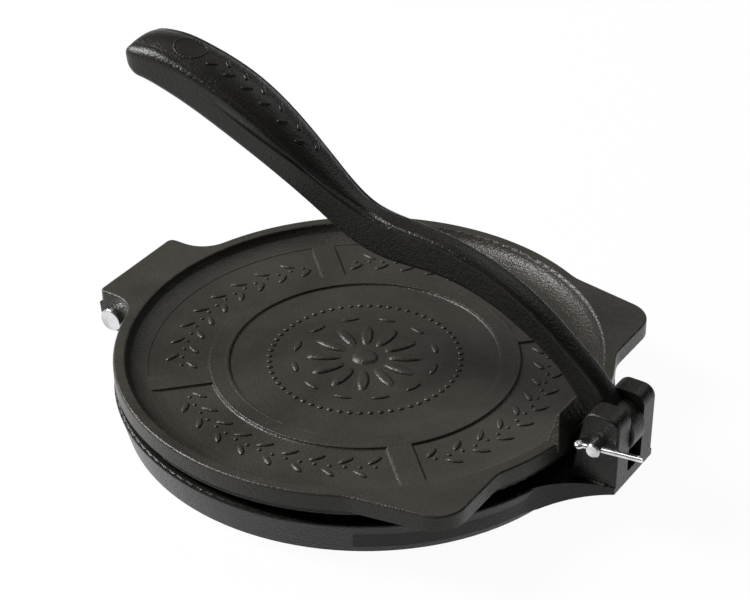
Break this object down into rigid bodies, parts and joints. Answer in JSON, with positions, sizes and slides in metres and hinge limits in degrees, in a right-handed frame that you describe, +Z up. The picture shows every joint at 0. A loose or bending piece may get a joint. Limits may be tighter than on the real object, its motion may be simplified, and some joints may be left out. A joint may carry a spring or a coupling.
{
  "type": "tortilla press",
  "caption": "Hinged cast iron press that flattens dough between a round base and a dished top plate, closed by a long curved lever in a fork.",
  "frame": {"origin": "centre of the round base, on the plane of its underside", "axes": "+Z up; +X from the hinge to the lever's fork; +Y to the side where the lever pin's head is"},
  "size_m": [0.2518, 0.2036, 0.1399],
  "materials": {
    "base_iron": "seasoned, fine sand-cast grain",
    "plate_iron": "seasoned, fine sand-cast grain",
    "lever_iron": "seasoned, fine sand-cast grain",
    "pin_steel": "bright zinc plate",
    "cotter_steel": "bright zinc plate"
  },
  "bodies": {
    "base": {"base": "base_iron", "hinge_pin": "pin_steel", "hinge_cotter": "cotter_steel", "lever_pin": "pin_steel", "lever_cotter": "cotter_steel"},
    "top_plate": {"top_plate": "plate_iron"},
    "lever": {"lever": "lever_iron"}
  },
  "joints": [
    {"name": "lever_pivot", "type": "hinge", "parent": "base", "child": "lever", "pos_m": [0.1143, 0, 0.0325], "axis": [0, 1, 0], "range_deg": [-2.6, 140]},
    {"name": "plate_hinge", "type": "hinge", "parent": "base", "child": "top_plate", "pos_m": [-0.1105, 0, 0.014], "axis": [0, -1, 0], "range_deg": [-1.05, 56.1]}
  ],
  "couplings": [
    {"joint": "plate_hinge", "follows": "lever_pivot", "ratio": 0.4}
  ]
}
